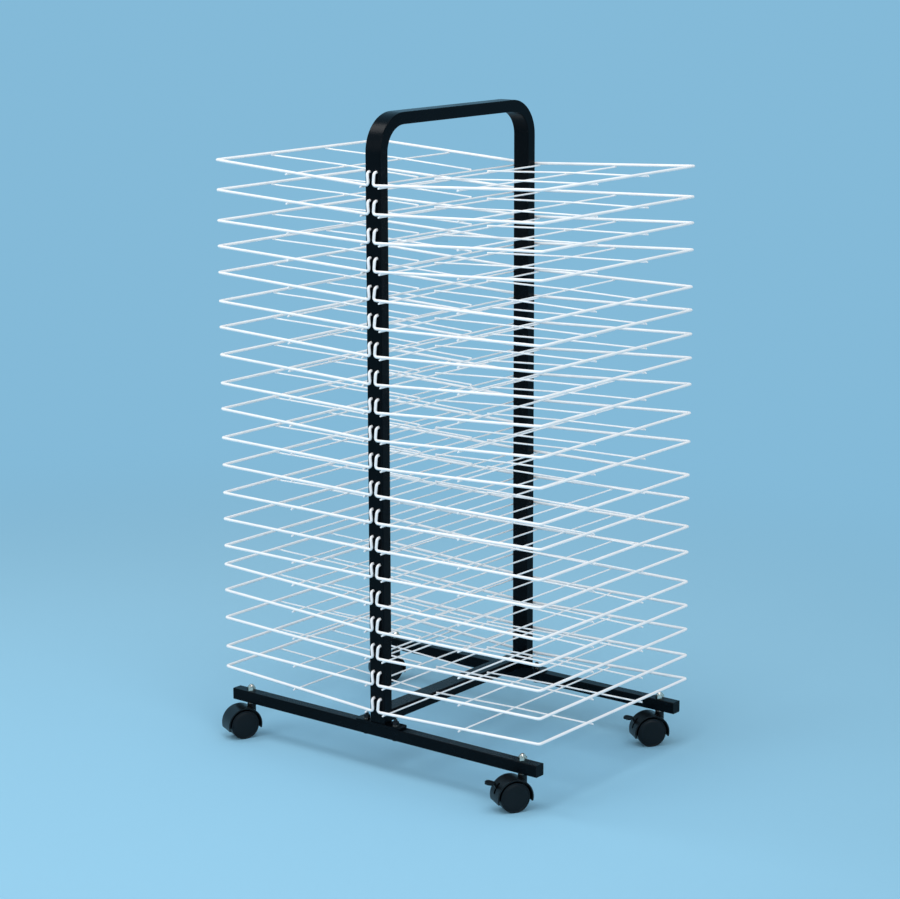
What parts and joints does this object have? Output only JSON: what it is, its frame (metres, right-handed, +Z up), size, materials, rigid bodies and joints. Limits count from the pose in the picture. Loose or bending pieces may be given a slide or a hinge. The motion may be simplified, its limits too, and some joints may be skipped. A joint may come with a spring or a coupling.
{
  "type": "art drying rack",
  "caption": "Double-sided drying rack: hoop frame on four twin-wheel casters with lift-up white wire shelves.",
  "frame": {"origin": "on the floor, midway between the posts and midway along the foot rails", "axes": "+Z up, +X from post to post along the cross bar, +Y along the foot rails"},
  "size_m": [0.4735, 0.68, 1.093],
  "materials": {
    "white_wire": "gloss",
    "black_frame": "satin",
    "black_fastener": "satin",
    "bright_zinc": "gloss",
    "hood_plastic": "gloss",
    "wheel_plastic": "satin"
  },
  "bodies": {
    "frame": {"hoop_frame": "black_frame", "cross_bar": "black_frame", "foot_rails": "black_frame", "foot_plates": "black_frame", "frame_bolts": "black_fastener", "zinc_hardware": "bright_zinc"},
    "shelf_left_01": {"shelf_left_01": "white_wire"},
    "shelf_left_02": {"shelf_left_02": "white_wire"},
    "shelf_left_03": {"shelf_left_03": "white_wire"},
    "shelf_left_04": {"shelf_left_04": "white_wire"},
    "shelf_left_05": {"shelf_left_05": "white_wire"},
    "shelf_left_06": {"shelf_left_06": "white_wire"},
    "shelf_left_07": {"shelf_left_07": "white_wire"},
    "shelf_left_08": {"shelf_left_08": "white_wire"},
    "shelf_left_09": {"shelf_left_09": "white_wire"},
    "shelf_left_10": {"shelf_left_10": "white_wire"},
    "shelf_left_11": {"shelf_left_11": "white_wire"},
    "shelf_left_12": {"shelf_left_12": "white_wire"},
    "shelf_left_13": {"shelf_left_13": "white_wire"},
    "shelf_left_14": {"shelf_left_14": "white_wire"},
    "shelf_left_15": {"shelf_left_15": "white_wire"},
    "shelf_left_16": {"shelf_left_16": "white_wire"},
    "shelf_left_17": {"shelf_left_17": "white_wire"},
    "shelf_left_18": {"shelf_left_18": "white_wire"},
    "shelf_left_19": {"shelf_left_19": "white_wire"},
    "shelf_left_20": {"shelf_left_20": "white_wire"},
    "shelf_right_01": {"shelf_right_01": "white_wire"},
    "shelf_right_02": {"shelf_right_02": "white_wire"},
    "shelf_right_03": {"shelf_right_03": "white_wire"},
    "shelf_right_04": {"shelf_right_04": "white_wire"},
    "shelf_right_05": {"shelf_right_05": "white_wire"},
    "shelf_right_06": {"shelf_right_06": "white_wire"},
    "shelf_right_07": {"shelf_right_07": "white_wire"},
    "shelf_right_08": {"shelf_right_08": "white_wire"},
    "shelf_right_09": {"shelf_right_09": "white_wire"},
    "shelf_right_10": {"shelf_right_10": "white_wire"},
    "shelf_right_11": {"shelf_right_11": "white_wire"},
    "shelf_right_12": {"shelf_right_12": "white_wire"},
    "shelf_right_13": {"shelf_right_13": "white_wire"},
    "shelf_right_14": {"shelf_right_14": "white_wire"},
    "shelf_right_15": {"shelf_right_15": "white_wire"},
    "shelf_right_16": {"shelf_right_16": "white_wire"},
    "shelf_right_17": {"shelf_right_17": "white_wire"},
    "shelf_right_18": {"shelf_right_18": "white_wire"},
    "shelf_right_19": {"shelf_right_19": "white_wire"},
    "shelf_right_20": {"shelf_right_20": "white_wire"},
    "caster_hood_front_right": {"caster_hood_front_right": "hood_plastic"},
    "wheel_front_right_a": {"wheel_front_right_a": "wheel_plastic"},
    "wheel_front_right_b": {"wheel_front_right_b": "wheel_plastic"},
    "brake_lever_front_right": {"brake_lever_front_right": "hood_plastic"},
    "caster_hood_front_left": {"caster_hood_front_left": "hood_plastic"},
    "wheel_front_left_a": {"wheel_front_left_a": "wheel_plastic"},
    "wheel_front_left_b": {"wheel_front_left_b": "wheel_plastic"},
    "caster_hood_back_right": {"caster_hood_back_right": "hood_plastic"},
    "wheel_back_right_a": {"wheel_back_right_a": "wheel_plastic"},
    "wheel_back_right_b": {"wheel_back_right_b": "wheel_plastic"},
    "brake_lever_back_right": {"brake_lever_back_right": "hood_plastic"},
    "caster_hood_back_left": {"caster_hood_back_left": "hood_plastic"},
    "wheel_back_left_a": {"wheel_back_left_a": "wheel_plastic"},
    "wheel_back_left_b": {"wheel_back_left_b": "wheel_plastic"}
  },
  "joints": [
    {"name": "lift_left_01", "type": "hinge", "parent": "frame", "child": "shelf_left_01", "pos_m": [0, 0.007, 0.127], "axis": [1, 0, 0], "range_deg": [0, 60]},
    {"name": "lift_left_02", "type": "hinge", "parent": "frame", "child": "shelf_left_02", "pos_m": [0, 0.007, 0.173], "axis": [1, 0, 0], "range_deg": [0, 60]},
    {"name": "lift_left_03", "type": "hinge", "parent": "frame", "child": "shelf_left_03", "pos_m": [0, 0.007, 0.219], "axis": [1, 0, 0], "range_deg": [0, 60]},
    {"name": "lift_left_04", "type": "hinge", "parent": "frame", "child": "shelf_left_04", "pos_m": [0, 0.007, 0.265], "axis": [1, 0, 0], "range_deg": [0, 60]},
    {"name": "lift_left_05", "type": "hinge", "parent": "frame", "child": "shelf_left_05", "pos_m": [0, 0.007, 0.311], "axis": [1, 0, 0], "range_deg": [0, 60]},
    {"name": "lift_left_06", "type": "hinge", "parent": "frame", "child": "shelf_left_06", "pos_m": [0, 0.007, 0.357], "axis": [1, 0, 0], "range_deg": [0, 60]},
    {"name": "lift_left_07", "type": "hinge", "parent": "frame", "child": "shelf_left_07", "pos_m": [0, 0.007, 0.403], "axis": [1, 0, 0], "range_deg": [0, 60]},
    {"name": "lift_left_08", "type": "hinge", "parent": "frame", "child": "shelf_left_08", "pos_m": [0, 0.007, 0.449], "axis": [1, 0, 0], "range_deg": [0, 60]},
    {"name": "lift_left_09", "type": "hinge", "parent": "frame", "child": "shelf_left_09", "pos_m": [0, 0.007, 0.495], "axis": [1, 0, 0], "range_deg": [0, 60]},
    {"name": "lift_left_10", "type": "hinge", "parent": "frame", "child": "shelf_left_10", "pos_m": [0, 0.007, 0.541], "axis": [1, 0, 0], "range_deg": [0, 60]},
    {"name": "lift_left_11", "type": "hinge", "parent": "frame", "child": "shelf_left_11", "pos_m": [0, 0.007, 0.587], "axis": [1, 0, 0], "range_deg": [0, 60]},
    {"name": "lift_left_12", "type": "hinge", "parent": "frame", "child": "shelf_left_12", "pos_m": [0, 0.007, 0.633], "axis": [1, 0, 0], "range_deg": [0, 60]},
    {"name": "lift_left_13", "type": "hinge", "parent": "frame", "child": "shelf_left_13", "pos_m": [0, 0.007, 0.679], "axis": [1, 0, 0], "range_deg": [0, 60]},
    {"name": "lift_left_14", "type": "hinge", "parent": "frame", "child": "shelf_left_14", "pos_m": [0, 0.007, 0.725], "axis": [1, 0, 0], "range_deg": [0, 60]},
    {"name": "lift_left_15", "type": "hinge", "parent": "frame", "child": "shelf_left_15", "pos_m": [0, 0.007, 0.771], "axis": [1, 0, 0], "range_deg": [0, 60]},
    {"name": "lift_left_16", "type": "hinge", "parent": "frame", "child": "shelf_left_16", "pos_m": [0, 0.007, 0.817], "axis": [1, 0, 0], "range_deg": [0, 60]},
    {"name": "lift_left_17", "type": "hinge", "parent": "frame", "child": "shelf_left_17", "pos_m": [0, 0.007, 0.863], "axis": [1, 0, 0], "range_deg": [0, 60]},
    {"name": "lift_left_18", "type": "hinge", "parent": "frame", "child": "shelf_left_18", "pos_m": [0, 0.007, 0.909], "axis": [1, 0, 0], "range_deg": [0, 60]},
    {"name": "lift_left_19", "type": "hinge", "parent": "frame", "child": "shelf_left_19", "pos_m": [0, 0.007, 0.955], "axis": [1, 0, 0], "range_deg": [0, 60]},
    {"name": "lift_left_20", "type": "hinge", "parent": "frame", "child": "shelf_left_20", "pos_m": [0, 0.007, 1.001], "axis": [1, 0, 0], "range_deg": [0, 60]},
    {"name": "lift_right_01", "type": "hinge", "parent": "frame", "child": "shelf_right_01", "pos_m": [0, -0.007, 0.127], "axis": [-1, 0, 0], "range_deg": [0, 60]},
    {"name": "lift_right_02", "type": "hinge", "parent": "frame", "child": "shelf_right_02", "pos_m": [0, -0.007, 0.173], "axis": [-1, 0, 0], "range_deg": [0, 60]},
    {"name": "lift_right_03", "type": "hinge", "parent": "frame", "child": "shelf_right_03", "pos_m": [0, -0.007, 0.219], "axis": [-1, 0, 0], "range_deg": [0, 60]},
    {"name": "lift_right_04", "type": "hinge", "parent": "frame", "child": "shelf_right_04", "pos_m": [0, -0.007, 0.265], "axis": [-1, 0, 0], "range_deg": [0, 60]},
    {"name": "lift_right_05", "type": "hinge", "parent": "frame", "child": "shelf_right_05", "pos_m": [0, -0.007, 0.311], "axis": [-1, 0, 0], "range_deg": [0, 60]},
    {"name": "lift_right_06", "type": "hinge", "parent": "frame", "child": "shelf_right_06", "pos_m": [0, -0.007, 0.357], "axis": [-1, 0, 0], "range_deg": [0, 60]},
    {"name": "lift_right_07", "type": "hinge", "parent": "frame", "child": "shelf_right_07", "pos_m": [0, -0.007, 0.403], "axis": [-1, 0, 0], "range_deg": [0, 60]},
    {"name": "lift_right_08", "type": "hinge", "parent": "frame", "child": "shelf_right_08", "pos_m": [0, -0.007, 0.449], "axis": [-1, 0, 0], "range_deg": [0, 60]},
    {"name": "lift_right_09", "type": "hinge", "parent": "frame", "child": "shelf_right_09", "pos_m": [0, -0.007, 0.495], "axis": [-1, 0, 0], "range_deg": [0, 60]},
    {"name": "lift_right_10", "type": "hinge", "parent": "frame", "child": "shelf_right_10", "pos_m": [0, -0.007, 0.541], "axis": [-1, 0, 0], "range_deg": [0, 60]},
    {"name": "lift_right_11", "type": "hinge", "parent": "frame", "child": "shelf_right_11", "pos_m": [0, -0.007, 0.587], "axis": [-1, 0, 0], "range_deg": [0, 60]},
    {"name": "lift_right_12", "type": "hinge", "parent": "frame", "child": "shelf_right_12", "pos_m": [0, -0.007, 0.633], "axis": [-1, 0, 0], "range_deg": [0, 60]},
    {"name": "lift_right_13", "type": "hinge", "parent": "frame", "child": "shelf_right_13", "pos_m": [0, -0.007, 0.679], "axis": [-1, 0, 0], "range_deg": [0, 60]},
    {"name": "lift_right_14", "type": "hinge", "parent": "frame", "child": "shelf_right_14", "pos_m": [0, -0.007, 0.725], "axis": [-1, 0, 0], "range_deg": [0, 60]},
    {"name": "lift_right_15", "type": "hinge", "parent": "frame", "child": "shelf_right_15", "pos_m": [0, -0.007, 0.771], "axis": [-1, 0, 0], "range_deg": [0, 60]},
    {"name": "lift_right_16", "type": "hinge", "parent": "frame", "child": "shelf_right_16", "pos_m": [0, -0.007, 0.817], "axis": [-1, 0, 0], "range_deg": [0, 60]},
    {"name": "lift_right_17", "type": "hinge", "parent": "frame", "child": "shelf_right_17", "pos_m": [0, -0.007, 0.863], "axis": [-1, 0, 0], "range_deg": [0, 60]},
    {"name": "lift_right_18", "type": "hinge", "parent": "frame", "child": "shelf_right_18", "pos_m": [0, -0.007, 0.909], "axis": [-1, 0, 0], "range_deg": [0, 60]},
    {"name": "lift_right_19", "type": "hinge", "parent": "frame", "child": "shelf_right_19", "pos_m": [0, -0.007, 0.955], "axis": [-1, 0, 0], "range_deg": [0, 60]},
    {"name": "lift_right_20", "type": "hinge", "parent": "frame", "child": "shelf_right_20", "pos_m": [0, -0.007, 1.001], "axis": [-1, 0, 0], "range_deg": [0, 60]},
    {"name": "swivel_front_right", "type": "hinge", "parent": "frame", "child": "caster_hood_front_right", "pos_m": [-0.198, -0.292, 0.05], "axis": [0, 0, 1], "continuous": true},
    {"name": "roll_front_right_a", "type": "hinge", "parent": "caster_hood_front_right", "child": "wheel_front_right_a", "pos_m": [-0.21367, -0.28255, 0.025], "axis": [-0.5165, -0.8563, 0], "continuous": true},
    {"name": "roll_front_right_b", "type": "hinge", "parent": "caster_hood_front_right", "child": "wheel_front_right_b", "pos_m": [-0.21367, -0.28255, 0.025], "axis": [-0.5165, -0.8563, 0], "continuous": true},
    {"name": "brake_front_right", "type": "hinge", "parent": "caster_hood_front_right", "child": "brake_lever_front_right", "pos_m": [-0.23088, -0.27217, 0.03395], "axis": [-0.5165, -0.8563, 0], "range_deg": [0, 18]},
    {"name": "swivel_front_left", "type": "hinge", "parent": "frame", "child": "caster_hood_front_left", "pos_m": [-0.198, 0.292, 0.05], "axis": [0, 0, 1], "continuous": true},
    {"name": "roll_front_left_a", "type": "hinge", "parent": "caster_hood_front_left", "child": "wheel_front_left_a", "pos_m": [-0.21441, 0.30011, 0.025], "axis": [-0.4431, -0.8965, 0], "continuous": true},
    {"name": "roll_front_left_b", "type": "hinge", "parent": "caster_hood_front_left", "child": "wheel_front_left_b", "pos_m": [-0.21441, 0.30011, 0.025], "axis": [-0.4431, -0.8965, 0], "continuous": true},
    {"name": "swivel_back_right", "type": "hinge", "parent": "frame", "child": "caster_hood_back_right", "pos_m": [0.198, -0.292, 0.05], "axis": [0, 0, 1], "continuous": true},
    {"name": "roll_back_right_a", "type": "hinge", "parent": "caster_hood_back_right", "child": "wheel_back_right_a", "pos_m": [0.18362, -0.28068, 0.025], "axis": [-0.6184, -0.7859, 0], "continuous": true},
    {"name": "roll_back_right_b", "type": "hinge", "parent": "caster_hood_back_right", "child": "wheel_back_right_b", "pos_m": [0.18362, -0.28068, 0.025], "axis": [-0.6184, -0.7859, 0], "continuous": true},
    {"name": "brake_back_right", "type": "hinge", "parent": "caster_hood_back_right", "child": "brake_lever_back_right", "pos_m": [0.16782, -0.26825, 0.03395], "axis": [-0.6184, -0.7859, 0], "range_deg": [0, 18]},
    {"name": "swivel_back_left", "type": "hinge", "parent": "frame", "child": "caster_hood_back_left", "pos_m": [0.198, 0.292, 0.05], "axis": [0, 0, 1], "continuous": true},
    {"name": "roll_back_left_a", "type": "hinge", "parent": "caster_hood_back_left", "child": "wheel_back_left_a", "pos_m": [0.18215, 0.30115, 0.025], "axis": [-0.5, -0.866, 0], "continuous": true},
    {"name": "roll_back_left_b", "type": "hinge", "parent": "caster_hood_back_left", "child": "wheel_back_left_b", "pos_m": [0.18215, 0.30115, 0.025], "axis": [-0.5, -0.866, 0], "continuous": true}
  ],
  "couplings": [
    {"joint": "lift_left_02", "follows": "lift_left_01", "ratio": 1},
    {"joint": "lift_left_03", "follows": "lift_left_01", "ratio": 1},
    {"joint": "lift_left_04", "follows": "lift_left_01", "ratio": 1},
    {"joint": "lift_left_05", "follows": "lift_left_01", "ratio": 1},
    {"joint": "lift_left_06", "follows": "lift_left_01", "ratio": 1},
    {"joint": "lift_left_07", "follows": "lift_left_01", "ratio": 1},
    {"joint": "lift_left_08", "follows": "lift_left_01", "ratio": 1},
    {"joint": "lift_left_09", "follows": "lift_left_01", "ratio": 1},
    {"joint": "lift_left_10", "follows": "lift_left_01", "ratio": 1},
    {"joint": "lift_left_11", "follows": "lift_left_01", "ratio": 1},
    {"joint": "lift_left_12", "follows": "lift_left_01", "ratio": 1},
    {"joint": "lift_left_13", "follows": "lift_left_01", "ratio": 1},
    {"joint": "lift_left_14", "follows": "lift_left_01", "ratio": 1},
    {"joint": "lift_left_15", "follows": "lift_left_01", "ratio": 1},
    {"joint": "lift_left_16", "follows": "lift_left_01", "ratio": 1},
    {"joint": "lift_left_17", "follows": "lift_left_01", "ratio": 1},
    {"joint": "lift_left_18", "follows": "lift_left_01", "ratio": 1},
    {"joint": "lift_left_19", "follows": "lift_left_01", "ratio": 1},
    {"joint": "lift_left_20", "follows": "lift_left_01", "ratio": 1},
    {"joint": "lift_right_02", "follows": "lift_right_01", "ratio": 1},
    {"joint": "lift_right_03", "follows": "lift_right_01", "ratio": 1},
    {"joint": "lift_right_04", "follows": "lift_right_01", "ratio": 1},
    {"joint": "lift_right_05", "follows": "lift_right_01", "ratio": 1},
    {"joint": "lift_right_06", "follows": "lift_right_01", "ratio": 1},
    {"joint": "lift_right_07", "follows": "lift_right_01", "ratio": 1},
    {"joint": "lift_right_08", "follows": "lift_right_01", "ratio": 1},
    {"joint": "lift_right_09", "follows": "lift_right_01", "ratio": 1},
    {"joint": "lift_right_10", "follows": "lift_right_01", "ratio": 1},
    {"joint": "lift_right_11", "follows": "lift_right_01", "ratio": 1},
    {"joint": "lift_right_12", "follows": "lift_right_01", "ratio": 1},
    {"joint": "lift_right_13", "follows": "lift_right_01", "ratio": 1},
    {"joint": "lift_right_14", "follows": "lift_right_01", "ratio": 1},
    {"joint": "lift_right_15", "follows": "lift_right_01", "ratio": 1},
    {"joint": "lift_right_16", "follows": "lift_right_01", "ratio": 1},
    {"joint": "lift_right_17", "follows": "lift_right_01", "ratio": 1},
    {"joint": "lift_right_18", "follows": "lift_right_01", "ratio": 1},
    {"joint": "lift_right_19", "follows": "lift_right_01", "ratio": 1},
    {"joint": "lift_right_20", "follows": "lift_right_01", "ratio": 1}
  ]
}
